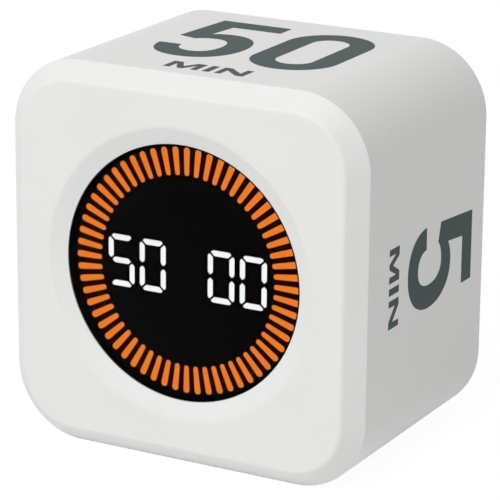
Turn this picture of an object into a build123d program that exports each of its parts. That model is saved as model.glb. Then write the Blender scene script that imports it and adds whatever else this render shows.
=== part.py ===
# Flip timer: a square block with a round lit display, set by the numbered side that is turned up.
# Millimetres, +Z up. The display faces -Y and the origin lies under the middle of the base.
# Places on the front and back are given as (across, up) from the middle of the block.
import os
from math import sqrt

from build123d import *

os.makedirs("parts", exist_ok=True)

# Casing
block_width = 64.0
block_height = 64.0
block_depth = 48.0
corner_radius = 12.0
edge_chamfer = 2.9
edge_soften = 1.0
side_wall = 2.2
face_wall = 2.6
cover_wall = 2.0
lip_wall = 1.2
lip_depth = 2.0
lip_gap = 0.1
post_radius = 3.0
post_gap = 0.9

# Dish, lens and display module
face_land = 5.1
dish_width = 2.9
dish_depth = 1.2
dish_soften = 1.5
rim_lip = 0.8
lens_gap = 0.08
lens_sink = 0.05
lens_thickness = 2.2
lens_edge = 0.05
flange_width = 1.7
tape_thickness = 0.15
tape_margin = 0.25
module_gap = 0.12
collar_wall = 1.2
collar_hold = 2.0
reflector_gap = 0.05
reflector_depth = 4.5

# Ring of light bars
bar_count = 60
bar_margin = 0.8
bar_length = 4.6
bar_outer_width = 1.06
bar_inner_width = 0.815
light_depth = 2.5
light_gap = 0.03
chip_length = 1.6
chip_width = 0.8
chip_height = 0.5

# Seven-segment digits that fill the ring, with their proportions in shares of a digit's width
lit_letters = ("acdfg", "abcdef", "abcdef", "abcdef")
digit_slenderness = 1.785
stroke_share = 0.197
corner_share = 0.19
pair_gap_share = 0.195
middle_gap_share = 1.58
segment_gap = 0.33
digit_margin = 0.65
small_chip_length = 1.0
small_chip_width = 0.5
small_chip_height = 0.35

# Boards, bosses and screws
display_board_thickness = 1.2
main_board_thickness = 1.6
main_board_width = 39.6
main_board_height = 44.0
board_margin = 3.0
board_corner = 2.0
board_gap = 0.4
boss_radius = 2.2
boss_gap = 0.4
boss_inset_across = 2.5
boss_inset_up = 4.2
small_screw_radius = 0.8
small_screw_length = 5.0
small_head_radius = 1.5
small_head_height = 1.0
cover_screw_radius = 1.25
cover_screw_length = 10.0
cover_head_radius = 2.3
cover_head_height = 1.4
cover_head_sink = 0.4
screw_bore_gap = 0.02
screw_hole_gap = 0.15
screw_tip_gap = 0.6
cross_width_share = 0.3
cross_length_share = 1.3
cross_depth = 0.7

# Back panel, buttons and switches
recess_width = 40.0
recess_height = 40.0
recess_radius = 6.0
recess_depth = 1.2
recess_draft = 20
button_names = ("second", "start", "minute")
button_radius = 4.2
button_gap = 0.15
button_proud = 0.7
button_soften = 0.4
button_spacing = 12.0
button_row = -1.0
button_travel = 0.3
flange_reach = 1.0
flange_thickness = 1.0
flange_play = 0.1
switch_size = 6.2
switch_height = 3.4
plunger_radius = 1.7
plunger_reach = 1.6
plunger_hold = 0.5
plunger_gap = 0.1
port_row = -12.5
knob_place = -9.0
knob_length = 5.0
knob_width = 3.0
knob_proud = 0.7
knob_travel = 2.0
knob_gap = 0.15
knob_plate = 0.8
knob_cover = 1.0
knob_groove = 0.35
knob_groove_count = 3
lever_size = 1.6
lever_hold = 1.0
slide_switch_width = 4.2
slide_switch_height = 4.0
slide_switch_end = 1.8
slot_gap = 0.2

# Charging port
port_place = 9.0
port_width = 8.94
port_height = 3.26
port_wall = 0.3
port_sink = 0.2
port_gap = 0.2
tongue_width = 6.69
tongue_thickness = 0.7
tongue_sink = 0.8
tongue_base = 2.0

# Buzzer
buzzer_row = 12.5
buzzer_radius = 6.0
buzzer_wall = 0.7
buzzer_base_thickness = 0.8
buzzer_mouth = 1.2
core_radius = 1.6
core_clear = 0.4
coil_radius = 3.2
coil_gap = 0.1
magnet_wall = 1.1
magnet_height = 2.6
diaphragm_thickness = 0.15
felt_thickness = 0.3
felt_margin = 0.4
sound_hole_radius = 0.6
sound_ring_radius = 1.9

# Vibration motor
motor_up = 11.0
motor_gap = 0.8
motor_radius = 4.0
motor_height = 2.7
motor_wall = 0.25
motor_tape_thickness = 0.2
shaft_radius = 0.4
shaft_gap = 0.04
hub_radius = 1.1
rotor_gap = 0.4

# Battery, plug and leads
battery_right = 13.5
battery_up = 5.5
battery_width = 24.0
battery_height = 30.0
battery_thickness = 6.0
battery_corner = 1.5
battery_tape_thickness = 0.5
battery_tape_margin = 2.0
plug_up = -9.7
plug_width = 6.1
plug_length = 5.4
plug_thickness = 2.8
plug_gap = 0.1
plug_hold = 3.9
socket_wall = 0.6
lead_radius = 0.5
lead_spacing = 2.0
lead_bend = 3.0
lead_straight = 1.2

# Ribbon between the boards
ribbon_across = 4.0
ribbon_row = -15.0
ribbon_width = 8.0
ribbon_thickness = 0.3
ribbon_bend = 4.0
ribbon_straight = 2.0
ribbon_socket_width = 10.0
ribbon_socket_length = 4.0
ribbon_socket_height = 2.0

# Chips, as (across, up) places and sizes
driver_places = [(-8.0, 5.0), (8.0, 5.0)]
driver_size = (5.3, 10.2, 1.8)
controller_place = (-11.5, 11.5)
controller_size = (7.0, 7.0, 1.0)
sensor_place = (11.5, 11.5)
sensor_size = (2.5, 2.5, 0.95)
charger_place = (13.5, -7.2)
charger_size = (2.9, 1.6, 1.1)

# Depths along Y, worked out from the front face backwards and from the back face forwards
middle = block_height / 2
front_y = -block_depth / 2
back_y = block_depth / 2
sleeve_front = front_y + edge_chamfer
sleeve_back = back_y - edge_chamfer
bezel_inside = front_y + face_wall
rim_front = front_y + dish_depth
lip_back = rim_front + rim_lip
flange_front = lip_back + tape_thickness
lens_front = rim_front + lens_sink
lens_back = lens_front + lens_thickness
reflector_front = lens_back + reflector_gap
display_front = reflector_front + reflector_depth
display_back = display_front + display_board_thickness
recess_floor = back_y - recess_depth
cover_inside = recess_floor - cover_wall
flange_back = cover_inside - flange_play
flange_seat = flange_back - flange_thickness
switch_top = flange_seat - plunger_reach
main_back = switch_top - switch_height
main_front = main_back - main_board_thickness

# Shared places and radii
lip_inset = side_wall + lip_gap
inside_inset = lip_inset + lip_wall
post_shift = (corner_radius - inside_inset - post_gap - post_radius) / sqrt(2)
post_across = block_width / 2 - corner_radius + post_shift
post_up = block_height / 2 - corner_radius + post_shift
dish_radius = min(block_width, block_height) / 2 - edge_chamfer - face_land
rim_radius = dish_radius - dish_width
module_radius = rim_radius + flange_width
pocket_radius = module_radius + module_gap
collar_radius = pocket_radius + collar_wall
display_boss = (collar_radius + boss_gap + boss_radius) / sqrt(2)
display_board_size = 2 * (display_boss + board_margin)
main_boss_across = main_board_width / 2 - boss_inset_across
main_boss_up = main_board_height / 2 - boss_inset_up
bar_outer = rim_radius - bar_margin
bar_inner = bar_outer - bar_length
row_reach = 2 + pair_gap_share + middle_gap_share / 2
digit_width = (bar_inner - digit_margin) / sqrt(row_reach**2 + (digit_slenderness / 2) ** 2)
digit_height = digit_slenderness * digit_width
digit_stroke = stroke_share * digit_width
digit_corner = corner_share * digit_width
near_digit = (1 + middle_gap_share) / 2 * digit_width
far_digit = near_digit + (1 + pair_gap_share) * digit_width
digit_places = [-far_digit, -near_digit, near_digit, far_digit]
battery_left = battery_right - battery_width
battery_place = (battery_left + battery_width / 2, battery_up)
motor_place = (battery_left - motor_gap - motor_radius, motor_up)
plug_across = battery_left - lead_straight - lead_bend - lead_spacing / 2


def corners(across, up):
    return [(across, up), (-across, up), (-across, -up), (across, -up)]


post_places = corners(post_across, post_up)
display_boss_places = corners(display_boss, display_boss)
main_boss_places = corners(main_boss_across, main_boss_up)
button_places = [((i - 1) * button_spacing, button_row) for i in range(len(button_names))]
display_axis = Axis((0, 0, middle), (0, 1, 0))


# Sketch planes face the front, so a positive extrusion runs towards -Y
def plane_at(y):
    return Plane(origin=(0, y, middle), x_dir=(1, 0, 0), z_dir=(0, -1, 0))


def outline(y, inset):
    with BuildSketch(plane_at(y)) as sketch:
        RectangleRounded(block_width - 2 * inset, block_height - 2 * inset, corner_radius - inset)
    return sketch.sketch


def discs(y, places, radius):
    with BuildSketch(plane_at(y)) as sketch:
        with Locations(*places):
            Circle(radius)
    return sketch.sketch


def ring(y, place, outer, inner):
    with BuildSketch(plane_at(y)) as sketch:
        with Locations(place):
            Circle(outer)
            Circle(inner, mode=Mode.SUBTRACT)
    return sketch.sketch


def oblong(y, place, width, height, corner=0):
    with BuildSketch(plane_at(y)) as sketch:
        with Locations(place):
            if corner > 0:
                RectangleRounded(width, height, corner)
            else:
                Rectangle(width, height)
    return sketch.sketch


def round_profile(points):
    with BuildSketch(Plane.XY.offset(middle)) as sketch:
        with BuildLine():
            Polyline(*points, close=True)
        make_face()
    return sketch.sketch


def save(piece, name):
    piece.part.label = name
    export_step(piece.part, f"parts/{name}.step")


# Screws stand on a seat: forward is 1 when they are driven towards the front and -1 towards the back
def screws(seat, forward, places, head_radius, head_height, shank_radius, shank_length):
    with BuildPart() as group:
        extrude(discs(seat, places, head_radius), amount=-forward * head_height)
        extrude(discs(seat, places, shank_radius), amount=forward * shank_length)
        with BuildSketch(plane_at(seat + forward * head_height)) as cross:
            with Locations(*places):
                Rectangle(cross_length_share * head_radius, cross_width_share * head_radius)
                Rectangle(cross_width_share * head_radius, cross_length_share * head_radius)
        extrude(cross.sketch, amount=forward * cross_depth, mode=Mode.SUBTRACT)
    return group


# Light bar: two round ends joined by their outer tangents
def bar_faces(y, grow):
    inner_round = bar_inner_width / 2 + grow
    outer_round = bar_outer_width / 2 + grow
    inner_mid = bar_inner + bar_inner_width / 2
    outer_mid = bar_outer - bar_outer_width / 2
    lean = (outer_round - inner_round) / (outer_mid - inner_mid)
    square = sqrt(1 - lean**2)
    inner_left = (-inner_round * square, inner_mid - inner_round * lean)
    inner_right = (inner_round * square, inner_mid - inner_round * lean)
    outer_left = (-outer_round * square, outer_mid - outer_round * lean)
    outer_right = (outer_round * square, outer_mid - outer_round * lean)
    with BuildSketch() as one_bar:
        with BuildLine():
            Line(inner_left, outer_left)
            ThreePointArc(outer_left, (0, outer_mid + outer_round), outer_right)
            Line(outer_right, inner_right)
            ThreePointArc(inner_right, (0, inner_mid - inner_round), inner_left)
        make_face()
    with BuildSketch(plane_at(y)) as sketch:
        with PolarLocations(0, bar_count):
            add(one_bar.sketch)
    return sketch.sketch


# Corner points of each segment of a digit whose middle is at (0, 0), mitred and with cut corners
def segment_points():
    wide = digit_width / 2
    tall = digit_height / 2
    gap = segment_gap / sqrt(2)
    inner = wide - digit_stroke
    half = digit_stroke / 2
    top_right = [
        (wide - digit_corner, tall),
        (wide - (digit_corner + gap) / 2, tall - (digit_corner - gap) / 2),
        (inner - gap, tall - digit_stroke),
    ]
    upper_right = [
        (wide, tall - digit_corner),
        (wide - (digit_corner - gap) / 2, tall - (digit_corner + gap) / 2),
        (inner, tall - digit_stroke - gap),
        (inner, gap + half),
        (wide - half, gap),
        (wide, gap + half),
    ]
    dash_right = [(inner - gap, half), (wide - half - gap, 0), (inner - gap, -half)]
    top = top_right + [(-x, z) for x, z in reversed(top_right)]
    return {
        "a": top,
        "b": upper_right,
        "c": [(x, -z) for x, z in upper_right],
        "d": [(x, -z) for x, z in top],
        "e": [(-x, -z) for x, z in upper_right],
        "f": [(-x, z) for x, z in upper_right],
        "g": dash_right + [(-x, z) for x, z in reversed(dash_right)],
    }


# Digits that show a segment, and those that leave it dark
segments = segment_points()
all_places = {letter: [(place, 0) for place in digit_places] for letter in segments}
lit_places = {letter: [] for letter in segments}
unlit_places = {letter: [] for letter in segments}
for digit_place, lit in zip(digit_places, lit_letters):
    for letter in segments:
        chosen = lit_places if letter in lit else unlit_places
        chosen[letter].append((digit_place, 0))


def segment_faces(y, letter_places, shrink):
    with BuildSketch(plane_at(y)) as sketch:
        for letter, places in letter_places.items():
            if places:
                with Locations(*places):
                    Polygon(*segments[letter], align=None)
        if shrink > 0:
            offset(amount=-shrink, kind=Kind.INTERSECTION, mode=Mode.REPLACE)
    return sketch.sketch


def segment_middle(letter):
    across = [x for x, z in segments[letter]]
    up = [z for x, z in segments[letter]]
    return ((min(across) + max(across)) / 2, (min(up) + max(up)) / 2)


# Body sleeve with the four numbered sides
with BuildPart() as body_sleeve:
    extrude(outline(sleeve_front, 0), amount=sleeve_front - sleeve_back)
    extrude(outline(sleeve_front, side_wall), amount=sleeve_front - sleeve_back, mode=Mode.SUBTRACT)
save(body_sleeve, "body_sleeve")

# Front bezel with its posts, display collar and display bosses
with BuildPart() as front_bezel:
    extrude(outline(sleeve_front, 0), amount=edge_chamfer, taper=45)
    fillet(front_bezel.faces().sort_by(Axis.Y)[0].edges(), edge_soften)
    extrude(outline(sleeve_front, lip_inset), amount=-lip_depth)
    extrude(outline(bezel_inside, inside_inset), amount=-block_depth, mode=Mode.SUBTRACT)
    extrude(discs(bezel_inside, post_places, post_radius), amount=bezel_inside - cover_inside)
    extrude(discs(bezel_inside, display_boss_places, boss_radius), amount=bezel_inside - display_front)
    extrude(ring(bezel_inside, (0, 0), collar_radius, rim_radius),
            amount=bezel_inside - reflector_front - collar_hold)
    revolve(round_profile([
        (0, front_y - dish_depth),
        (2 * dish_radius - rim_radius, front_y - dish_depth),
        (rim_radius, rim_front),
        (rim_radius, lip_back),
        (pocket_radius, lip_back),
        (pocket_radius, display_back),
        (0, display_back),
    ]), axis=display_axis, mode=Mode.SUBTRACT)
    front_rounds = front_bezel.edges().filter_by(GeomType.CIRCLE).group_by(Axis.Y)[0]
    fillet(front_rounds.sort_by(SortBy.RADIUS)[-1], dish_soften)
    extrude(discs(cover_inside, post_places, cover_screw_radius + screw_bore_gap),
            amount=cover_screw_length, mode=Mode.SUBTRACT)
    extrude(discs(display_front, display_boss_places, small_screw_radius + screw_bore_gap),
            amount=small_screw_length - display_board_thickness + screw_tip_gap, mode=Mode.SUBTRACT)
save(front_bezel, "front_bezel")

# Rear cover with its recess, bosses and openings
slot_length = knob_length + 2 * (knob_travel + knob_gap)
with BuildPart() as rear_cover:
    extrude(outline(sleeve_back, 0), amount=-edge_chamfer, taper=45)
    fillet(rear_cover.faces().sort_by(Axis.Y)[-1].edges(), edge_soften)
    extrude(outline(sleeve_back, lip_inset), amount=lip_depth)
    extrude(outline(cover_inside, inside_inset), amount=block_depth, mode=Mode.SUBTRACT)
    extrude(oblong(back_y, (0, 0), recess_width, recess_height, recess_radius),
            amount=recess_depth, taper=recess_draft, mode=Mode.SUBTRACT)
    extrude(discs(cover_inside, main_boss_places, boss_radius), amount=cover_inside - main_back)
    extrude(discs(main_back, main_boss_places, small_screw_radius + screw_bore_gap),
            amount=main_board_thickness - small_screw_length - screw_tip_gap, mode=Mode.SUBTRACT)
    extrude(discs(cover_inside, button_places, button_radius + button_gap),
            amount=-block_depth, mode=Mode.SUBTRACT)
    extrude(oblong(cover_inside, (knob_place, port_row), slot_length, knob_width + 2 * knob_gap),
            amount=-block_depth, mode=Mode.SUBTRACT)
    extrude(oblong(cover_inside, (port_place, port_row), port_width + 2 * port_gap,
                   port_height + 2 * port_gap, port_height / 2.1),
            amount=-block_depth, mode=Mode.SUBTRACT)
    with BuildSketch(plane_at(cover_inside)) as sound_holes:
        with Locations((0, buzzer_row)):
            Circle(sound_hole_radius)
            for ring_number in (1, 2):
                with PolarLocations(ring_number * sound_ring_radius, 6 * ring_number):
                    Circle(sound_hole_radius)
    extrude(sound_holes.sketch, amount=-block_depth, mode=Mode.SUBTRACT)
    extrude(discs(cover_inside, post_places, cover_screw_radius + screw_hole_gap),
            amount=-block_depth, mode=Mode.SUBTRACT)
    extrude(discs(back_y, post_places, cover_head_radius + screw_hole_gap),
            amount=cover_head_sink + cover_head_height, mode=Mode.SUBTRACT)
save(rear_cover, "rear_cover")

cover_seat = back_y - cover_head_sink - cover_head_height
cover_screws = screws(cover_seat, 1, post_places, cover_head_radius, cover_head_height,
                      cover_screw_radius, cover_screw_length - screw_tip_gap)
save(cover_screws, "cover_screws")

# Lens with a flange behind the rim, and the tape ring between them
with BuildPart() as display_lens:
    lens_radius = rim_radius - lens_gap
    revolve(round_profile([
        (0, lens_front),
        (lens_radius - lens_edge, lens_front),
        (lens_radius, lens_front + lens_edge),
        (lens_radius, flange_front),
        (module_radius, flange_front),
        (module_radius, lens_back),
        (0, lens_back),
    ]), axis=display_axis)
save(display_lens, "display_lens")

with BuildPart() as lens_tape:
    extrude(ring(lip_back, (0, 0), module_radius - tape_margin, rim_radius + tape_margin),
            amount=-tape_thickness)
save(lens_tape, "lens_tape")

# Reflector with a pocket for every light
with BuildPart() as reflector:
    extrude(discs(reflector_front, [(0, 0)], module_radius), amount=-reflector_depth)
    extrude(bar_faces(reflector_front, light_gap), amount=-reflector_depth, mode=Mode.SUBTRACT)
    extrude(segment_faces(reflector_front, all_places, 0), amount=-reflector_depth, mode=Mode.SUBTRACT)
save(reflector, "reflector")

with BuildPart() as minute_bars:
    extrude(bar_faces(reflector_front, 0), amount=-light_depth)
save(minute_bars, "minute_bars")

with BuildPart() as lit_digit_segments:
    extrude(segment_faces(reflector_front, lit_places, light_gap), amount=-light_depth)
save(lit_digit_segments, "lit_digit_segments")

with BuildPart() as unlit_digit_segments:
    extrude(segment_faces(reflector_front, unlit_places, light_gap), amount=-light_depth)
save(unlit_digit_segments, "unlit_digit_segments")

# Display board with its lights, chips and screws
with BuildPart() as display_board:
    extrude(oblong(display_front, (0, 0), display_board_size, display_board_size, board_corner),
            amount=-display_board_thickness)
    extrude(discs(display_front, post_places, post_radius + board_gap),
            amount=-display_board_thickness, mode=Mode.SUBTRACT)
    extrude(discs(display_front, display_boss_places, small_screw_radius + screw_hole_gap),
            amount=-display_board_thickness, mode=Mode.SUBTRACT)
save(display_board, "display_board")

with BuildPart() as ring_lights:
    with BuildSketch(plane_at(display_front)):
        with PolarLocations((bar_outer + bar_inner) / 2, bar_count):
            Rectangle(chip_length, chip_width)
    extrude(amount=chip_height)
save(ring_lights, "ring_lights")

with BuildPart() as digit_lights:
    with BuildSketch(plane_at(display_front)):
        for letter, places in all_places.items():
            with Locations(*places):
                with Locations(segment_middle(letter)):
                    Rectangle(small_chip_length, small_chip_width, rotation=0 if letter in "adg" else 90)
    extrude(amount=small_chip_height)
save(digit_lights, "digit_lights")

with BuildPart() as driver_chips:
    with BuildSketch(plane_at(display_back)):
        with Locations(*driver_places):
            Rectangle(driver_size[0], driver_size[1])
    extrude(amount=-driver_size[2])
save(driver_chips, "driver_chips")

display_screws = screws(display_back, 1, display_boss_places, small_head_radius, small_head_height,
                        small_screw_radius, small_screw_length)
save(display_screws, "display_screws")

# Main board with its chips and screws
with BuildPart() as main_board:
    extrude(oblong(main_back, (0, 0), main_board_width, main_board_height, board_corner),
            amount=main_board_thickness)
    extrude(discs(main_back, post_places, post_radius + board_gap),
            amount=main_board_thickness, mode=Mode.SUBTRACT)
    extrude(discs(main_back, main_boss_places, small_screw_radius + screw_hole_gap),
            amount=main_board_thickness, mode=Mode.SUBTRACT)
save(main_board, "main_board")

board_screws = screws(main_front, -1, main_boss_places, small_head_radius, small_head_height,
                      small_screw_radius, small_screw_length)
save(board_screws, "board_screws")

chips = {
    "controller_chip": (controller_place, controller_size),
    "gravity_sensor": (sensor_place, sensor_size),
    "charge_chip": (charger_place, charger_size),
}
for name, (place, size) in chips.items():
    with BuildPart() as chip:
        extrude(oblong(main_back, place, size[0], size[1]), amount=-size[2])
        chamfer(chip.faces().sort_by(Axis.Y)[-1].edges(), size[2] / 8)
    save(chip, name)

# Buttons over their switches: cap, plunger and switch base
with BuildPart() as switch_bases:
    with BuildSketch(plane_at(main_back)):
        with Locations(*button_places):
            Rectangle(switch_size, switch_size)
    extrude(amount=-switch_height)
    extrude(discs(switch_top, button_places, plunger_radius + plunger_gap),
            amount=plunger_hold + button_travel + plunger_gap, mode=Mode.SUBTRACT)
save(switch_bases, "switch_bases")

button_face = recess_floor + button_proud
for name, place in zip(button_names, button_places):
    with BuildPart() as button:
        extrude(discs(flange_seat, [place], button_radius + flange_reach), amount=-flange_thickness)
        extrude(discs(flange_back, [place], button_radius), amount=flange_back - button_face)
        fillet(button.faces().sort_by(Axis.Y)[-1].edges(), button_soften)
    save(button, f"{name}_button")
    with BuildPart() as plunger:
        extrude(discs(flange_seat, [place], plunger_radius), amount=plunger_reach + plunger_hold)
    save(plunger, f"{name}_plunger")

# Slide switch: knob with its cover plate, lever and switch base
plate_back = cover_inside - flange_play
plate_front = plate_back - knob_plate
plate_length = slot_length + 2 * (knob_travel + knob_cover)
knob_face = recess_floor + knob_proud
slide_top = main_back + slide_switch_height
lever_slot = lever_size + 2 * (knob_travel + slot_gap)
with BuildPart() as slide_knob:
    extrude(oblong(plate_front, (knob_place, port_row), plate_length, knob_width + 2 * knob_cover),
            amount=plate_front - plate_back)
    extrude(oblong(plate_back, (knob_place, port_row), knob_length, knob_width),
            amount=plate_back - knob_face)
    with BuildSketch(plane_at(knob_face)) as grooves:
        with Locations((knob_place, port_row)):
            with GridLocations(knob_length / (knob_groove_count + 1), 0, knob_groove_count, 1):
                Rectangle(knob_groove, knob_width)
    extrude(grooves.sketch, amount=knob_groove, mode=Mode.SUBTRACT)
save(slide_knob, "slide_knob")

with BuildPart() as slide_lever:
    extrude(oblong(plate_front, (knob_place, port_row), lever_size, lever_size),
            amount=plate_front - slide_top + lever_hold)
save(slide_lever, "slide_lever")

with BuildPart() as slide_switch_base:
    extrude(oblong(main_back, (knob_place, port_row), lever_slot + 2 * slide_switch_end, slide_switch_width),
            amount=-slide_switch_height)
    extrude(oblong(slide_top, (knob_place, port_row), lever_slot, lever_size + 2 * slot_gap),
            amount=lever_hold + slot_gap, mode=Mode.SUBTRACT)
save(slide_switch_base, "slide_switch_base")

# Charging port: shell and tongue
port_mouth = recess_floor - port_sink
inner_width = port_width - 2 * port_wall
inner_height = port_height - 2 * port_wall
with BuildPart() as usb_shell:
    extrude(oblong(main_back, (port_place, port_row), port_width, port_height, port_height / 2.1),
            amount=main_back - port_mouth)
    extrude(oblong(main_back, (port_place, port_row), inner_width, inner_height, inner_height / 2.1),
            amount=main_back - port_mouth, mode=Mode.SUBTRACT)
save(usb_shell, "usb_shell")

with BuildPart() as usb_tongue:
    extrude(oblong(main_back, (port_place, port_row), inner_width, inner_height, inner_height / 2.1),
            amount=-tongue_base)
    extrude(oblong(main_back + tongue_base, (port_place, port_row), tongue_width, tongue_thickness),
            amount=main_back + tongue_base - port_mouth + tongue_sink)
save(usb_tongue, "usb_tongue")

# Buzzer behind the sound holes, with a felt against dust
buzzer_place = (0, buzzer_row)
buzzer_top = cover_inside - felt_thickness
base_top = main_back + buzzer_base_thickness
magnet_outer = buzzer_radius - buzzer_wall - coil_gap
magnet_top = base_top + magnet_height
with BuildPart() as buzzer_base:
    extrude(discs(main_back, [buzzer_place], buzzer_radius), amount=-buzzer_base_thickness)
    extrude(discs(base_top, [buzzer_place], core_radius), amount=core_clear - magnet_height)
save(buzzer_base, "buzzer_base")

with BuildPart() as buzzer_coil:
    extrude(ring(base_top, buzzer_place, coil_radius, core_radius + coil_gap),
            amount=2 * core_clear - magnet_height)
save(buzzer_coil, "buzzer_coil")

with BuildPart() as buzzer_magnet:
    extrude(ring(base_top, buzzer_place, magnet_outer, magnet_outer - magnet_wall), amount=-magnet_height)
save(buzzer_magnet, "buzzer_magnet")

with BuildPart() as buzzer_diaphragm:
    extrude(discs(magnet_top, [buzzer_place], magnet_outer), amount=-diaphragm_thickness)
save(buzzer_diaphragm, "buzzer_diaphragm")

with BuildPart() as buzzer_case:
    extrude(discs(base_top, [buzzer_place], buzzer_radius), amount=base_top - buzzer_top)
    extrude(discs(base_top, [buzzer_place], buzzer_radius - buzzer_wall),
            amount=base_top - buzzer_top + buzzer_wall, mode=Mode.SUBTRACT)
    extrude(discs(buzzer_top, [buzzer_place], buzzer_mouth), amount=buzzer_wall, mode=Mode.SUBTRACT)
save(buzzer_case, "buzzer_case")

with BuildPart() as sound_felt:
    extrude(discs(buzzer_top, [buzzer_place], buzzer_radius - felt_margin), amount=-felt_thickness)
save(sound_felt, "sound_felt")

# Vibration motor on the front of the main board, its weight hanging down
motor_back = main_front - motor_tape_thickness
motor_front = motor_back - motor_height
can_open = motor_back - motor_wall
can_floor = motor_front + motor_wall
rotor_radius = motor_radius - motor_wall - rotor_gap
with BuildPart() as motor_tape:
    extrude(discs(main_front, [motor_place], motor_radius), amount=motor_tape_thickness)
save(motor_tape, "motor_tape")

with BuildPart() as motor_base:
    extrude(discs(motor_back, [motor_place], motor_radius), amount=motor_wall)
save(motor_base, "motor_base")

with BuildPart() as motor_can:
    extrude(discs(can_open, [motor_place], motor_radius), amount=can_open - motor_front)
    extrude(discs(can_open, [motor_place], motor_radius - motor_wall),
            amount=can_open - can_floor, mode=Mode.SUBTRACT)
save(motor_can, "motor_can")

with BuildPart() as motor_shaft:
    extrude(discs(can_open, [motor_place], shaft_radius), amount=can_open - can_floor)
save(motor_shaft, "motor_shaft")

with BuildPart() as motor_rotor:
    with BuildSketch(plane_at(can_open - rotor_gap)) as weight:
        with Locations(motor_place):
            Circle(rotor_radius)
            Rectangle(2 * rotor_radius, rotor_radius, align=(Align.CENTER, Align.MIN), mode=Mode.SUBTRACT)
            Circle(hub_radius)
            Circle(shaft_radius + shaft_gap, mode=Mode.SUBTRACT)
    extrude(weight.sketch, amount=can_open - can_floor - 2 * rotor_gap)
save(motor_rotor, "motor_rotor")

# Battery on its tape, with the plug, its socket and two leads
battery_back = main_front - battery_tape_thickness
with BuildPart() as battery_tape:
    extrude(oblong(main_front, battery_place, battery_width - battery_tape_margin,
                   battery_height - battery_tape_margin), amount=battery_tape_thickness)
save(battery_tape, "battery_tape")

with BuildPart() as battery_cell:
    extrude(oblong(battery_back, battery_place, battery_width, battery_height, battery_corner),
            amount=battery_thickness)
    fillet(battery_cell.faces().filter_by(Plane.XZ).edges(), battery_corner / 2)
save(battery_cell, "battery_cell")

socket_width = plug_width + 2 * (plug_gap + socket_wall)
socket_height = plug_thickness + 2 * (plug_gap + socket_wall)
socket_mouth = plug_up - plug_length + plug_hold
socket_length = plug_hold + plug_gap + socket_wall
plug_y = main_front - socket_height / 2
plug_plane = Plane(origin=(plug_across, plug_y, middle + plug_up), x_dir=(1, 0, 0), z_dir=(0, 0, 1))
socket_plane = Plane(origin=(plug_across, plug_y, middle + socket_mouth), x_dir=(1, 0, 0), z_dir=(0, 0, 1))
with BuildPart() as battery_socket:
    with BuildSketch(socket_plane):
        Rectangle(socket_width, socket_height)
    extrude(amount=-socket_length)
    with BuildSketch(socket_plane):
        Rectangle(plug_width + 2 * plug_gap, plug_thickness + 2 * plug_gap)
    extrude(amount=-plug_hold - plug_gap, mode=Mode.SUBTRACT)
save(battery_socket, "battery_socket")

with BuildPart() as battery_plug:
    with BuildSketch(plug_plane):
        Rectangle(plug_width, plug_thickness)
    extrude(amount=-plug_length)
save(battery_plug, "battery_plug")

for name, side in (("red", -1), ("black", 1)):
    lead_across = plug_across + side * lead_spacing / 2
    lead_shift = (1 - side) * lead_spacing / 2
    lead_up = middle + plug_up + lead_straight + lead_bend + lead_shift
    with BuildPart() as lead:
        with BuildLine() as route:
            FilletPolyline(
                (lead_across, plug_y, middle + plug_up),
                (lead_across, plug_y, lead_up),
                (battery_left, plug_y, lead_up),
                radius=lead_bend + lead_shift,
            )
        with BuildSketch(Plane(origin=route.line @ 0, z_dir=route.line % 0)):
            Circle(lead_radius)
        sweep()
    save(lead, f"battery_lead_{name}")

# Ribbon between the boards, with a socket on each
ribbon_place = (ribbon_across, ribbon_row)
ribbon_start = middle + ribbon_row - ribbon_socket_length / 2
ribbon_low = ribbon_start - ribbon_straight - ribbon_bend
ribbon_front = display_back + ribbon_socket_height / 2
ribbon_back = main_front - ribbon_socket_height / 2
with BuildPart() as display_ribbon_socket:
    extrude(oblong(display_back, ribbon_place, ribbon_socket_width, ribbon_socket_length),
            amount=-ribbon_socket_height)
save(display_ribbon_socket, "display_ribbon_socket")

with BuildPart() as main_ribbon_socket:
    extrude(oblong(main_front, ribbon_place, ribbon_socket_width, ribbon_socket_length),
            amount=ribbon_socket_height)
save(main_ribbon_socket, "main_ribbon_socket")

with BuildPart() as ribbon:
    with BuildLine() as ribbon_route:
        FilletPolyline(
            (ribbon_across, ribbon_front, ribbon_start),
            (ribbon_across, ribbon_front, ribbon_low),
            (ribbon_across, ribbon_back, ribbon_low),
            (ribbon_across, ribbon_back, ribbon_start),
            radius=ribbon_bend,
        )
    with BuildSketch(Plane(origin=ribbon_route.line @ 0, x_dir=(1, 0, 0), z_dir=ribbon_route.line % 0)):
        Rectangle(ribbon_width, ribbon_thickness)
    sweep()
save(ribbon, "ribbon")
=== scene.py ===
import math

import bpy
from mathutils import Matrix, Vector


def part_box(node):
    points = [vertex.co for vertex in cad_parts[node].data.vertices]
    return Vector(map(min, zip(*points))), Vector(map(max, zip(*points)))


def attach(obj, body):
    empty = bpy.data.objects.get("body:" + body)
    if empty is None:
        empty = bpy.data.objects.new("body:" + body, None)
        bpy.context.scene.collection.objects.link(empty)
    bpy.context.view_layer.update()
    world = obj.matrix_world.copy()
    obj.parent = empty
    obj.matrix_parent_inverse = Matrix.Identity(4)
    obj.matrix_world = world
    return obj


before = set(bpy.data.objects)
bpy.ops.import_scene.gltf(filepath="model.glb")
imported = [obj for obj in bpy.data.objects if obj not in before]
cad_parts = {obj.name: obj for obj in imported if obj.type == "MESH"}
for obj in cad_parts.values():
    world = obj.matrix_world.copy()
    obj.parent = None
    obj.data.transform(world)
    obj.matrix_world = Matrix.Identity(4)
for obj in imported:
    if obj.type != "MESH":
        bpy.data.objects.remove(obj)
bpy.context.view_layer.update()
scene = bpy.context.scene
scene.view_settings.view_transform = "Standard"
print("frame: %d CAD nodes" % len(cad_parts))

mm = 0.001
midUp = 0.032  # height of the display's middle

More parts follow.
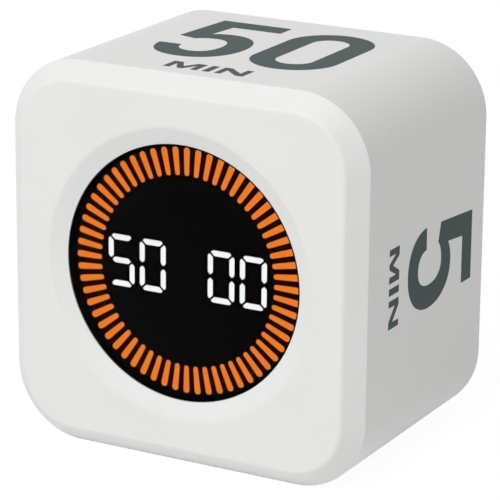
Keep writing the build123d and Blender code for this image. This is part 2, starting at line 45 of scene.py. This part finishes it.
cameraSetup = {
    "place": (0.21419, -0.39044, 0.16685),
    "look": (-0.46011, 0.83786, -0.29376),
    "up": (-0.14881, 0.25341, 0.95584),
    "lens": 204.03,
    "sensor": 36.0,
}


def addCamera(setup):
    bpy.ops.object.camera_add()
    camera = bpy.context.object
    camera.name = "camera"
    back = -Vector(setup["look"]).normalized()
    right = Vector(setup["up"]).cross(back).normalized()
    turn = Matrix((right, back.cross(right), back)).transposed().to_4x4()
    camera.matrix_world = Matrix.Translation(setup["place"]) @ turn
    camera.data.lens = setup["lens"]
    camera.data.sensor_width = setup["sensor"]
    camera.data.dof.use_dof = False
    scene.camera = camera


addCamera(cameraSetup)
print("camera: placed")

studio = {
    "ambient": 0.391,  # light that comes evenly from all round
    "keyFrom": (-0.09, -0.63, 0.76),
    "keyDistance": 1.2,
    "keySize": 0.9,
    "keyPower": 9.1,
    "floorSize": 8.0,
    "floorDrop": 0.0001,
    "floorColour": (0.95, 0.95, 0.95, 1),  # its light lifts the chamfer at the base
    "floorRough": 0.9,
    "floorWhite": 0.90,  # share of plain white that the camera sees on the floor
    "floorLift": 1.05,  # makes the open floor white beside the share that takes shadows
}


def seenDirectly(tree):
    path = tree.nodes.new("ShaderNodeLightPath")
    both = tree.nodes.new("ShaderNodeMath")
    both.operation = "MAXIMUM"
    tree.links.new(path.outputs["Is Camera Ray"], both.inputs[0])
    tree.links.new(path.outputs["Is Glossy Ray"], both.inputs[1])
    every = tree.nodes.new("ShaderNodeMath")
    every.operation = "MAXIMUM"
    tree.links.new(both.outputs[0], every.inputs[0])
    tree.links.new(path.outputs["Is Transmission Ray"], every.inputs[1])
    return every.outputs[0]


def lightRoom(setup):
    world = bpy.data.worlds.new("studio")
    scene.world = world
    world.use_nodes = True
    tree = world.node_tree
    background = tree.nodes["Background"]
    background.inputs["Color"].default_value = (1, 1, 1, 1)
    lift = tree.nodes.new("ShaderNodeMath")  # white to the eye, softer on the object
    lift.operation = "MULTIPLY_ADD"
    lift.inputs[1].default_value = 1 - setup["ambient"]
    lift.inputs[2].default_value = setup["ambient"]
    tree.links.new(seenDirectly(tree), lift.inputs[0])
    tree.links.new(lift.outputs[0], background.inputs["Strength"])

    aim = Vector(setup["keyFrom"]).normalized()
    stand = Vector((0, 0, midUp)) + aim * setup["keyDistance"]
    bpy.ops.object.light_add(type="AREA", location=stand)
    key = bpy.context.object
    key.name = "keyLight"
    key.rotation_euler = aim.to_track_quat("Z", "Y").to_euler()
    key.data.size = setup["keySize"]
    key.data.energy = setup["keyPower"]


def layFloor(setup):
    bpy.ops.object.select_all(action="DESELECT")
    bpy.ops.mesh.primitive_plane_add(size=setup["floorSize"], location=(0, 0, -setup["floorDrop"]))
    floor = bpy.context.object
    floor.name = "floor"
    paper = bpy.data.materials.new("floorPaper")
    paper.use_nodes = True
    tree = paper.node_tree
    shader = tree.nodes["Principled BSDF"]
    shader.inputs["Base Color"].default_value = setup["floorColour"]
    shader.inputs["Roughness"].default_value = setup["floorRough"]
    shader.inputs["Specular IOR Level"].default_value = 0.0
    white = tree.nodes.new("ShaderNodeEmission")
    white.inputs["Strength"].default_value = setup["floorLift"]
    share = tree.nodes.new("ShaderNodeMath")
    share.operation = "MULTIPLY"
    share.inputs[1].default_value = setup["floorWhite"]
    tree.links.new(seenDirectly(tree), share.inputs[0])
    mix = tree.nodes.new("ShaderNodeMixShader")
    tree.links.new(share.outputs[0], mix.inputs["Fac"])
    tree.links.new(shader.outputs[0], mix.inputs[1])
    tree.links.new(white.outputs[0], mix.inputs[2])
    tree.links.new(mix.outputs[0], tree.nodes["Material Output"].inputs["Surface"])
    floor.data.materials.append(paper)


lightRoom(studio)
layFloor(studio)
print("studio: light and floor")


# Nodes shared by the finishes: all read Object coordinates, in metres
def objectNoise(tree, scale, detail, stretch=(1, 1, 1)):
    coord = tree.nodes.new("ShaderNodeTexCoord")
    mapping = tree.nodes.new("ShaderNodeMapping")
    mapping.inputs["Scale"].default_value = stretch
    noise = tree.nodes.new("ShaderNodeTexNoise")
    noise.inputs["Scale"].default_value = scale
    noise.inputs["Detail"].default_value = detail
    tree.links.new(coord.outputs["Object"], mapping.inputs["Vector"])
    tree.links.new(mapping.outputs["Vector"], noise.inputs["Vector"])
    return noise.outputs["Fac"]


bandWander = 0.4  # how far a band strays from a straight line


def objectWave(tree, scale, direction):
    coord = tree.nodes.new("ShaderNodeTexCoord")
    wave = tree.nodes.new("ShaderNodeTexWave")
    wave.bands_direction = direction
    wave.inputs["Scale"].default_value = scale
    wave.inputs["Distortion"].default_value = bandWander
    tree.links.new(coord.outputs["Object"], wave.inputs["Vector"])
    return wave.outputs["Fac"]


def displayRadius(tree):
    coord = tree.nodes.new("ShaderNodeTexCoord")
    centre = tree.nodes.new("ShaderNodeMapping")  # display's middle to the origin, flat along Y
    centre.inputs["Location"].default_value = (0, 0, -midUp)
    centre.inputs["Scale"].default_value = (1, 0, 1)
    length = tree.nodes.new("ShaderNodeVectorMath")
    length.operation = "LENGTH"
    tree.links.new(coord.outputs["Object"], centre.inputs["Vector"])
    tree.links.new(centre.outputs["Vector"], length.inputs[0])
    return length.outputs["Value"]


def spread(tree, value, fromLow, fromHigh, toLow=0.0, toHigh=1.0):
    scaled = tree.nodes.new("ShaderNodeMapRange")
    scaled.inputs["From Min"].default_value = fromLow
    scaled.inputs["From Max"].default_value = fromHigh
    scaled.inputs["To Min"].default_value = toLow
    scaled.inputs["To Max"].default_value = toHigh
    tree.links.new(value, scaled.inputs["Value"])
    return scaled.outputs["Result"]


def ramp(tree, value, stops):
    colours = tree.nodes.new("ShaderNodeValToRGB")
    elements = colours.color_ramp.elements
    while len(elements) < len(stops):
        elements.new(1.0)
    for element, (place, colour) in zip(elements, stops):
        element.position = place
        element.color = (*colour, 1)
    tree.links.new(value, colours.inputs["Fac"])
    return colours.outputs["Color"]


def bump(tree, shader, height, strength, depth):
    node = tree.nodes.new("ShaderNodeBump")
    node.inputs["Strength"].default_value = strength
    node.inputs["Distance"].default_value = depth
    tree.links.new(height, node.inputs["Height"])
    tree.links.new(node.outputs["Normal"], shader.inputs["Normal"])


tintStops = (0.3, 0.7)  # where in the noise each of the two tints is full
patchDetail = 5.0
grainDetail = 3.0


def newFinish(name, look):
    finish = bpy.data.materials.new(name)
    finish.use_nodes = True
    tree = finish.node_tree
    shader = tree.nodes["Principled BSDF"]
    shader.inputs["Metallic"].default_value = look.get("metal", 0.0)
    shader.inputs["Specular IOR Level"].default_value = look.get("gloss", 0.5)
    stretch = look.get("stretch", (1, 1, 1))
    patches = objectNoise(tree, look["patchScale"], patchDetail, stretch)
    tint = ramp(tree, patches, list(zip(tintStops, (look["dark"], look["light"]))))
    tree.links.new(tint, shader.inputs["Base Color"])
    roughness = spread(tree, patches, *tintStops, *look["rough"])
    tree.links.new(roughness, shader.inputs["Roughness"])
    fine = objectNoise(tree, look["grainScale"], grainDetail, stretch)
    bump(tree, shader, fine, look["grain"], look["grainDepth"])
    return finish, tree, shader


# Plain finishes, by the record's slot: two tints, their patches, roughness and surface grain
slotLooks = {
    "white_shell": {
        "dark": (0.815, 0.815, 0.800), "light": (0.835, 0.835, 0.822), "patchScale": 60,
        "rough": (0.40, 0.46), "gloss": 0.35, "grainScale": 2600, "grain": 0.05, "grainDepth": 2e-5,
    },
    "black_tape": {
        "dark": (0.015, 0.015, 0.016), "light": (0.035, 0.035, 0.036), "patchScale": 900,
        "rough": (0.80, 0.95), "gloss": 0.3, "grainScale": 3200, "grain": 0.5, "grainDepth": 6e-5,
    },
    "segment_dark": {
        "dark": (0.0012, 0.0012, 0.0012), "light": (0.0020, 0.0020, 0.0022), "patchScale": 700,
        "rough": (0.45, 0.60), "gloss": 0.0, "grainScale": 4000, "grain": 0.1, "grainDepth": 2e-5,
    },
    "board_black": {
        "dark": (0.012, 0.016, 0.014), "light": (0.024, 0.030, 0.026), "patchScale": 500,
        "rough": (0.35, 0.50), "gloss": 0.4, "grainScale": 1500, "grain": 0.2, "grainDepth": 3e-5,
    },
    "light_chip": {
        "dark": (0.80, 0.72, 0.48), "light": (0.90, 0.86, 0.70), "patchScale": 1400,
        "rough": (0.20, 0.30), "gloss": 0.5, "grainScale": 3000, "grain": 0.1, "grainDepth": 2e-5,
    },
    "chip_black": {
        "dark": (0.022, 0.022, 0.025), "light": (0.038, 0.038, 0.042), "patchScale": 800,
        "rough": (0.50, 0.65), "gloss": 0.4, "grainScale": 5000, "grain": 0.3, "grainDepth": 2e-5,
    },
    "button_grey": {
        "dark": (0.062, 0.078, 0.082), "light": (0.074, 0.091, 0.096), "patchScale": 250,
        "rough": (0.45, 0.55), "gloss": 0.4, "grainScale": 3500, "grain": 0.12, "grainDepth": 2e-5,
    },
    "plunger_white": {
        "dark": (0.70, 0.67, 0.58), "light": (0.80, 0.78, 0.71), "patchScale": 400,
        "rough": (0.40, 0.50), "gloss": 0.5, "grainScale": 3500, "grain": 0.1, "grainDepth": 2e-5,
    },
    "magnet_grey": {
        "dark": (0.15, 0.15, 0.16), "light": (0.26, 0.26, 0.27), "patchScale": 1200, "metal": 0.6,
        "rough": (0.55, 0.70), "gloss": 0.5, "grainScale": 4000, "grain": 0.4, "grainDepth": 3e-5,
    },
    "dust_felt": {
        "dark": (0.022, 0.022, 0.024), "light": (0.060, 0.060, 0.063), "patchScale": 2500,
        "rough": (0.90, 1.00), "gloss": 0.2, "grainScale": 2500, "grain": 0.9, "grainDepth": 2e-4,
    },
    "rotor_metal": {
        "dark": (0.36, 0.35, 0.33), "light": (0.52, 0.51, 0.49), "patchScale": 1000, "metal": 1.0,
        "rough": (0.30, 0.45), "gloss": 0.5, "grainScale": 3000, "grain": 0.2, "grainDepth": 2e-5,
    },
    "battery_silver": {
        "dark": (0.66, 0.67, 0.69), "light": (0.80, 0.81, 0.83), "patchScale": 160, "metal": 0.9,
        "rough": (0.28, 0.42), "gloss": 0.5, "grainScale": 500, "grain": 0.4, "grainDepth": 8e-5,
    },
    "connector_white": {
        "dark": (0.76, 0.72, 0.60), "light": (0.86, 0.83, 0.75), "patchScale": 350,
        "rough": (0.45, 0.55), "gloss": 0.5, "grainScale": 3000, "grain": 0.1, "grainDepth": 2e-5,
    },
    "lead_red": {
        "dark": (0.50, 0.020, 0.016), "light": (0.66, 0.045, 0.034), "patchScale": 500,
        "rough": (0.40, 0.52), "gloss": 0.5, "grainScale": 2500, "grain": 0.15, "grainDepth": 2e-5,
    },
    "lead_black": {
        "dark": (0.018, 0.018, 0.018), "light": (0.036, 0.036, 0.036), "patchScale": 500,
        "rough": (0.40, 0.52), "gloss": 0.5, "grainScale": 2500, "grain": 0.15, "grainDepth": 2e-5,
    },
    "screw_steel": {
        "dark": (0.50, 0.50, 0.51), "light": (0.68, 0.68, 0.69), "patchScale": 900, "metal": 1.0,
        "rough": (0.25, 0.42), "gloss": 0.5, "grainScale": 2200, "grain": 0.25, "grainDepth": 2e-5,
        "stretch": (1, 0.2, 3),
    },
    "port_steel": {
        "dark": (0.58, 0.58, 0.59), "light": (0.72, 0.72, 0.73), "patchScale": 700, "metal": 1.0,
        "rough": (0.22, 0.36), "gloss": 0.5, "grainScale": 1800, "grain": 0.2, "grainDepth": 2e-5,
        "stretch": (0.2, 3, 1),
    },
}
finishes = {slot: newFinish(slot, look)[0] for slot, look in slotLooks.items()}

boardLook = {"dark": (0.010, 0.11, 0.050), "light": (0.024, 0.19, 0.095), "patchScale": 300,
             "rough": (0.30, 0.42), "gloss": 0.5, "grainScale": 900, "grain": 0.2, "grainDepth": 3e-5,
             "trackScale": 180, "trackEdge": (0.55, 0.62)}


def boardFinish(look):
    finish, tree, shader = newFinish("board_green", look)
    tracks = objectWave(tree, look["trackScale"], "X")  # copper tracks under the mask
    tint = ramp(tree, tracks, list(zip(look["trackEdge"], (look["dark"], look["light"]))))
    tree.links.new(tint, shader.inputs["Base Color"])
    return finish


coilLook = {"dark": (0.40, 0.15, 0.06), "light": (0.78, 0.42, 0.22), "patchScale": 600, "metal": 1.0,
            "rough": (0.25, 0.35), "gloss": 0.5, "grainScale": 2000, "grain": 0.2, "grainDepth": 3e-5,
            "turnScale": 1600, "turnEdge": (0.1, 0.6), "turnBump": 0.6, "turnDepth": 1e-4}


def coilFinish(look):
    finish, tree, shader = newFinish("copper_coil", look)
    turns = objectWave(tree, look["turnScale"], "Y")  # wire lies in turns along the core
    tint = ramp(tree, turns, list(zip(look["turnEdge"], (look["dark"], look["light"]))))
    tree.links.new(tint, shader.inputs["Base Color"])
    bump(tree, shader, turns, look["turnBump"], look["turnDepth"])
    return finish


ribbonLook = {"dark": (0.42, 0.43, 0.45), "light": (0.80, 0.80, 0.79), "patchScale": 300,
              "rough": (0.38, 0.48), "gloss": 0.5, "grainScale": 1500, "grain": 0.1, "grainDepth": 2e-5,
              "wireScale": 320, "wireEdge": (0.35, 0.60)}


def ribbonFinish(look):
    finish, tree, shader = newFinish("ribbon_white", look)
    wires = objectWave(tree, look["wireScale"], "X")  # conductors show through the film
    tint = ramp(tree, wires, list(zip(look["wireEdge"], (look["light"], look["dark"]))))
    tree.links.new(tint, shader.inputs["Base Color"])
    return finish


finishes["board_green"] = boardFinish(boardLook)
finishes["copper_coil"] = coilFinish(coilLook)
finishes["ribbon_white"] = ribbonFinish(ribbonLook)

lensLook = {"smoke": (0.60, 0.60, 0.61), "refraction": 1.3, "glare": (0.0, 0.0, 0.0, 1), "gloss": 0.1,
            "rough": 0.0, "clearRadius": 0.0208, "blackRadius": 0.0209,
            "tintDark": 0.5}  # share of the edge by which the smoke is black, before it stops passing light


def lensFinish(look):
    finish = bpy.data.materials.new("smoked_lens")
    finish.use_nodes = True
    tree = finish.node_tree
    shader = tree.nodes["Principled BSDF"]
    place = spread(tree, displayRadius(tree), look["clearRadius"], look["blackRadius"])
    stops = [(0.0, look["smoke"]), (look["tintDark"], (0, 0, 0))]  # black edge under the bezel
    tint = ramp(tree, place, stops)
    tree.links.new(tint, shader.inputs["Base Color"])
    clear = spread(tree, place, look["tintDark"], 1.0, 1.0, 0.0)
    tree.links.new(clear, shader.inputs["Transmission Weight"])
    shader.inputs["IOR"].default_value = look["refraction"]
    shader.inputs["Specular IOR Level"].default_value = look["gloss"]
    shader.inputs["Specular Tint"].default_value = look["glare"]  # coated against glare
    shader.inputs["Roughness"].default_value = look["rough"]
    return finish


reflectorLook = {"dark": (0.0010, 0.0008, 0.0008), "light": (0.0020, 0.0016, 0.0016), "patchScale": 500,
                 "rough": (0.70, 0.85), "gloss": 0.0, "grainScale": 2500, "grain": 0.2, "grainDepth": 2e-5,
                 # painted glow: the reflector is no lamp, and this emission colour paints the bars' stray
                 # light between them
                 "glow": (0.019, 0.0003, 0.0002), "glowStrength": 1.0,
                 "glowRadii": (0.0154, 0.0163, 0.0197, 0.0204)}


def reflectorFinish(look):
    finish, tree, shader = newFinish("reflector_black", look)
    inner, innerFull, outerFull, outer = look["glowRadii"]  # painted glow: emission on the black reflector stands in for stray red light from the bars
    place = spread(tree, displayRadius(tree), inner, outer)
    reach = outer - inner
    stops = [(0.0, (0, 0, 0)), ((innerFull - inner) / reach, look["glow"]),
             ((outerFull - inner) / reach, look["glow"]), (1.0, (0, 0, 0))]
    tree.links.new(ramp(tree, place, stops), shader.inputs["Emission Color"])
    shader.inputs["Emission Strength"].default_value = look["glowStrength"]
    return finish


barLook = {"end": (0.84, 0.215, 0.018), "middle": (0.88, 0.200, 0.011), "strength": 1.36,
           "radii": (0.0158, 0.0203), "middleStops": (0.45, 0.65), "base": (0.35, 0.10, 0.01, 1),
           "rough": 0.5}


def barFinish(look):
    finish = bpy.data.materials.new("bar_amber")
    finish.use_nodes = True
    tree = finish.node_tree
    shader = tree.nodes["Principled BSDF"]
    shader.inputs["Base Color"].default_value = look["base"]
    shader.inputs["Roughness"].default_value = look["rough"]
    place = spread(tree, displayRadius(tree), *look["radii"])  # a little brighter over each light
    near, far = look["middleStops"]
    stops = [(0.0, look["end"]), (near, look["middle"]), (far, look["middle"]), (1.0, look["end"])]
    tint = ramp(tree, place, stops)
    tree.links.new(tint, shader.inputs["Emission Color"])
    shader.inputs["Emission Strength"].default_value = look["strength"]
    return finish


digitLook = {"dim": (0.890, 0.930, 0.935), "bright": (0.940, 0.965, 0.965), "strength": 1.38,
             "patchScale": 900, "cloudDetail": 2.0, "cloudStops": (0.35, 0.65),
             "base": (0.5, 0.5, 0.5, 1), "rough": 0.5}


def digitFinish(look):
    finish = bpy.data.materials.new("digit_white")
    finish.use_nodes = True
    tree = finish.node_tree
    shader = tree.nodes["Principled BSDF"]
    shader.inputs["Base Color"].default_value = look["base"]
    shader.inputs["Roughness"].default_value = look["rough"]
    cloud = objectNoise(tree, look["patchScale"], look["cloudDetail"])
    tint = ramp(tree, cloud, list(zip(look["cloudStops"], (look["dim"], look["bright"]))))
    tree.links.new(tint, shader.inputs["Emission Color"])
    shader.inputs["Emission Strength"].default_value = look["strength"]
    return finish


finishes["smoked_lens"] = lensFinish(lensLook)
finishes["reflector_black"] = reflectorFinish(reflectorLook)
finishes["bar_amber"] = barFinish(barLook)
finishes["digit_white"] = digitFinish(digitLook)

inkLook = {"dark": (0.072, 0.097, 0.097), "light": (0.082, 0.109, 0.109), "patchScale": 500,
           "rough": (0.58, 0.70), "gloss": 0.10, "grainScale": 4000, "grain": 0.08, "grainDepth": 1e-5}
printInk = newFinish("printInk", inkLook)[0]

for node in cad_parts.values():
    for materialSlot in node.material_slots:
        materialSlot.material = finishes[materialSlot.material.name.split(".")[0]]
print("finishes: %d on the CAD nodes" % len(finishes))


# Figures have their left edge at 0. A point is (x, y), with its two handles where it is curved
handleShare = 0.5523  # length of a quarter circle's handles, as a share of the radius


def oval(left, low, wide, tall):
    radius = wide / 2
    reach = radius * handleShare
    right, top = left + wide, low + tall
    mid = left + radius
    return [
        (right, low + radius, (right, low + radius - reach), (right, low + radius)),
        (right, top - radius, (right, top - radius), (right, top - radius + reach)),
        (mid, top, (mid + reach, top), (mid - reach, top)),
        (left, top - radius, (left, top - radius + reach), (left, top - radius)),
        (left, low + radius, (left, low + radius), (left, low + radius - reach)),
        (mid, low, (mid - reach, low), (mid + reach, low)),
    ]


figureTall = 24.3
figures = {
    "0": {"wide": 13.5, "loops": [oval(0, 0, 13.5, 24.3), oval(3.85, 3.7, 5.8, 16.9)]},
    "1": {"wide": 9.6, "loops": [[
        (5.4, 0), (9.6, 0), (9.6, 24.3), (6.6, 24.3), (0.9, 20.4), (0.9, 15.9), (5.4, 18.9),
    ]]},
    "2": {"wide": 13.5, "loops": [[
        (0.35, 16.9, (0.35, 16.9), (0.35, 21.5)),
        (6.9, 24.3, (3.0, 24.3), (10.8, 24.3)),
        (13.3, 17.7, (13.3, 21.8), (13.3, 15.2)),
        (10.7, 11.3, (12.3, 13.4), (10.7, 11.3)),
        (5.3, 3.85), (13.4, 3.85), (13.4, 0), (0.1, 0), (0.1, 3.1),
        (7.5, 13.0, (7.5, 13.0), (8.8, 14.8)),
        (9.4, 17.5, (9.4, 16.2), (9.4, 19.4)),
        (6.9, 20.5, (8.4, 20.5), (5.3, 20.5)),
        (4.2, 16.9, (4.2, 19.2), (4.2, 16.9)),
    ]]},
    "5": {"wide": 13.65, "loops": [[
        (1.3, 24.3), (12.95, 24.3), (12.95, 20.55), (4.85, 20.55),
        (4.3, 15.0, (4.3, 15.0), (5.1, 15.7)),
        (7.6, 16.05, (6.3, 16.05), (11.2, 16.05)),
        (13.65, 8.0, (13.65, 12.6), (13.65, 3.2)),
        (6.75, 0.0, (10.9, 0.0), (2.9, 0.0)),
        (0.0, 6.75, (0.15, 2.6), (0.0, 6.75)),
        (3.7, 6.8, (3.7, 6.8), (3.85, 4.8)),
        (6.75, 3.75, (5.0, 3.75), (8.7, 3.75)),
        (9.75, 8.0, (9.75, 5.4), (9.75, 10.8)),
        (6.6, 12.45, (8.5, 12.45), (5.3, 12.45)),
        (3.5, 11.2, (4.1, 12.0), (3.5, 11.2)),
        (0.35, 12.1),
    ]]},
}
figureGap = 2.4

# Letters of the small word
letterTall = 3.35
letters = {
    "M": {"wide": 5.2, "loops": [[
        (0, 0), (0, 3.35), (1.4, 3.35), (2.6, 1.25), (3.8, 3.35), (5.2, 3.35), (5.2, 0),
        (4.2, 0), (4.2, 2.2), (3.0, 0), (2.2, 0), (1.0, 2.2), (1.0, 0),
    ]]},
    "I": {"wide": 1.1, "loops": [[(0, 0), (1.1, 0), (1.1, 3.35), (0, 3.35)]]},
    "N": {"wide": 4.4, "loops": [[
        (0, 0), (0, 3.35), (1.15, 3.35), (3.4, 1.3), (3.4, 3.35), (4.4, 3.35), (4.4, 0),
        (3.25, 0), (1.0, 2.05), (1.0, 0),
    ]]},
}
letterGap = 0.8


def wordLoops(word, shapes, gap, shapeTall, tall, base, widen=1.0):
    scale = tall / shapeTall
    total = sum(shapes[c]["wide"] for c in word) + gap * (len(word) - 1)
    pen = -total / 2
    loops = []
    for c in word:
        for loop in shapes[c]["loops"]:
            placed = []
            for point in loop:
                knot = [point[:2]] * 3 if len(point) == 2 else [point[:2], point[2], point[3]]
                placed.append([((x + pen) * scale * widen, y * scale + base) for x, y in knot])
            loops.append(placed)
        pen += shapes[c]["wide"] + gap
    return loops


def strokeLoop(path, width):
    left, right = [], []
    for i, (x, y) in enumerate(path):
        x0, y0 = path[max(i - 1, 0)]
        x1, y1 = path[min(i + 1, len(path) - 1)]
        length = math.hypot(x1 - x0, y1 - y0)
        across = (-(y1 - y0) / length * width / 2, (x1 - x0) / length * width / 2)
        left.append((x + across[0], y + across[1]))
        right.append((x - across[0], y - across[1]))
    return [[point] * 3 for point in left + right[::-1]]


filmLook = {"thick": 0.01,  # on each side of the surface, in mm
            "steps": 16, "weld": 1e-7}


def inkPiece(name, loops, place, right, up, body, ink):
    curve = bpy.data.curves.new(name, "CURVE")
    curve.dimensions = "2D"
    curve.fill_mode = "BOTH"
    curve.extrude = filmLook["thick"] * mm
    curve.resolution_u = filmLook["steps"]
    for loop in loops:
        spline = curve.splines.new("BEZIER")
        spline.bezier_points.add(len(loop) - 1)
        spline.use_cyclic_u = True
        for knot, (point, before, after) in zip(spline.bezier_points, loop):
            knot.handle_left_type = knot.handle_right_type = "FREE"
            knot.co = (point[0] * mm, point[1] * mm, 0)
            knot.handle_left = (before[0] * mm, before[1] * mm, 0)
            knot.handle_right = (after[0] * mm, after[1] * mm, 0)
    piece = bpy.data.objects.new(name, curve)
    scene.collection.objects.link(piece)
    bpy.ops.object.select_all(action="DESELECT")
    piece.select_set(True)
    bpy.context.view_layer.objects.active = piece
    bpy.ops.object.convert(target="MESH")
    bpy.ops.object.mode_set(mode="EDIT")
    bpy.ops.mesh.select_all(action="SELECT")
    bpy.ops.mesh.remove_doubles(threshold=filmLook["weld"])
    bpy.ops.mesh.normals_make_consistent(inside=False)
    bpy.ops.object.mode_set(mode="OBJECT")
    right, up = Vector(right), Vector(up)
    turn = Matrix((right, up, right.cross(up))).transposed().to_4x4()
    piece.data.transform(Matrix.Translation(place) @ turn)
    piece.data.materials.clear()
    piece.data.materials.append(ink)
    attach(piece, body)
    return piece


# Printed sides: the figures stand towards the back, with the small word under them
printSizes = {  # by how many figures a side has, in mm
    1: {"tall": 23.8, "base": -7.15, "widen": 1.02,
        "wordTall": 3.5, "wordBase": -13.85, "wordWiden": 1.015},
    2: {"tall": 26.2, "base": -10.8, "widen": 1.015,
        "wordTall": 3.9, "wordBase": -18.0, "wordWiden": 1.0},
}
sideOut = 0.032  # left and right sides
topUp = 0.064
printedSides = {
    "print_top": {"figures": "50", "place": (0.0009, 0, topUp), "right": (1, 0, 0), "up": (0, 1, 0)},
    "print_right": {"figures": "5", "place": (sideOut, 0, midUp), "right": (0, 0, -1), "up": (0, 1, 0)},
    "print_base": {"figures": "25", "place": (0, 0, 0), "right": (-1, 0, 0), "up": (0, 1, 0)},
    "print_left": {"figures": "10", "place": (-sideOut, 0, midUp), "right": (0, 0, 1), "up": (0, 1, 0)},
}
for name, side in printedSides.items():
    size = printSizes[len(side["figures"])]
    loops = wordLoops(side["figures"], figures, figureGap, figureTall,
                      size["tall"], size["base"], size["widen"])
    loops += wordLoops("MIN", letters, letterGap, letterTall,
                       size["wordTall"], size["wordBase"], size["wordWiden"])
    inkPiece(name, loops, side["place"], side["right"], side["up"], "casing", printInk)
print("prints: %d sides" % len(printedSides))


# Marks on the back, drawn about their own middle as seen from behind
def sharp(points):
    return [[point] * 3 for point in points]


def arcPath(middle, radius, fromTurn, toTurn, steps=12):
    path = []
    for step in range(steps + 1):
        turn = math.radians(fromTurn + (toTurn - fromTurn) * step / steps)
        path.append((middle[0] + radius * math.cos(turn), middle[1] + radius * math.sin(turn)))
    return path


def ringLoops(radius, width):
    loops = []
    for r in (radius + width / 2, radius - width / 2):
        loops.append([[p[:2], p[2], p[3]] for p in oval(-r, -r, 2 * r, 2 * r)])
    return loops


markLook = {"letterTall": 2.5, "stroke": 0.42, "thin": 0.2}
halfTall = markLook["letterTall"] / 2
bowl = (markLook["letterTall"] - markLook["stroke"]) / 4  # radius of the letter S's two bowls
letterS = arcPath((0, bowl), bowl, 30, 270) + arcPath((0, -bowl), bowl, 90, -150)[1:]
startMark = [
    sharp([(-1.7, -1.0), (-1.7, 1.0), (-0.1, 0)]),
    sharp([(0.3, -1.0), (0.75, -1.0), (0.75, 1.0), (0.3, 1.0)]),
    sharp([(1.2, -1.0), (1.65, -1.0), (1.65, 1.0), (1.2, 1.0)]),
]
soundMark = [
    sharp([(-0.75, -0.28), (-0.42, -0.28), (0.0, -0.65), (0.0, 0.65), (-0.42, 0.28), (-0.75, 0.28)]),
    strokeLoop(arcPath((-0.1, 0), 0.52, -48, 48), markLook["thin"]),  # one sound wave
]
shakeMark = [strokeLoop([(-0.75, 0), (-0.45, 0.55), (-0.15, -0.55), (0.15, 0.55), (0.45, -0.55), (0.75, 0)],
                        markLook["thin"])]
buttonMarks = {
    "start_button": startMark,
    "minute_button": wordLoops("M", letters, 0, letterTall, markLook["letterTall"], -halfTall),
    "second_button": [strokeLoop(letterS, markLook["stroke"])],
}
for name, loops in buttonMarks.items():
    low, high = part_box(name)
    middle = ((low[0] + high[0]) / 2, high[1], (low[2] + high[2]) / 2)
    inkPiece(name + "_mark", loops, middle, (-1, 0, 0), (0, 0, 1), name,
             finishes["white_shell"])

offMark = ringLoops(0.5, markLook["thin"])
slideMarks = {"mark_off": offMark, "mark_sound": soundMark, "mark_shake": shakeMark}
slideStops = {"mark_off": 2.0, "mark_sound": 0.0, "mark_shake": -2.0}  # knob's travel at each mark, in mm
markRise = 3.4
floorBack = 22.8 * mm  # the recess that the marks are printed on
low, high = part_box("slide_knob")
knobAcross, knobUp = (low[0] + high[0]) / 2, (low[2] + high[2]) / 2
for name, loops in slideMarks.items():
    place = (knobAcross + slideStops[name] * mm, floorBack, knobUp + markRise * mm)
    inkPiece(name, loops, place, (-1, 0, 0), (0, 0, 1), "casing", printInk)
print("marks: %d on the back" % (len(buttonMarks) + len(slideMarks)))
